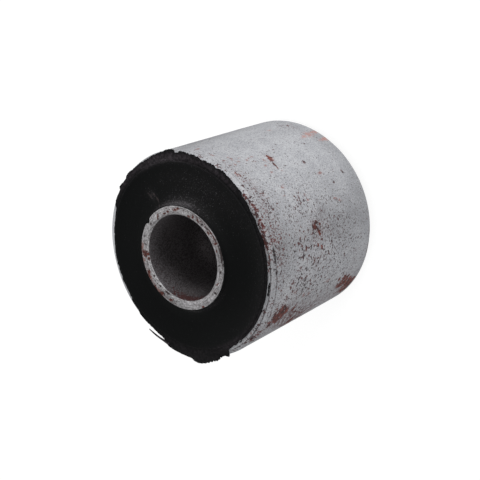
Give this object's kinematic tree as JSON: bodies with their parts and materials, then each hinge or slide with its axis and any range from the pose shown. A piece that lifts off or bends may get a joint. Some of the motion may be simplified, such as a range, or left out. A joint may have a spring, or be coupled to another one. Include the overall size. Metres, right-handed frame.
{
  "type": "rubber metal bush",
  "caption": "Bonded rubber-metal bush: a steel inner sleeve held in a steel outer sleeve by dished rubber, rusted, with torn flash on one end face.",
  "frame": {"origin": "on the bore's axis, halfway along the bush", "axes": "+Z along the bore, out of the front end, which has the torn flash; +X and +Y are at any turn about it"},
  "size_m": [0.0485, 0.048, 0.044],
  "materials": {
    "coated_steel": "matte",
    "bare_steel": "satin",
    "rubber": "matte"
  },
  "bodies": {
    "outer": {"outer_sleeve": "coated_steel", "rubber_body": "rubber"},
    "inner": {"inner_sleeve": "bare_steel"}
  },
  "joints": [
    {"name": "inner_sleeve_twist", "type": "hinge", "parent": "outer", "child": "inner", "pos_m": [0, 0, 0], "axis": [0, 0, 1], "range_deg": [-15, 15], "stiffness_Nm_per_rad": 90}
  ]
}
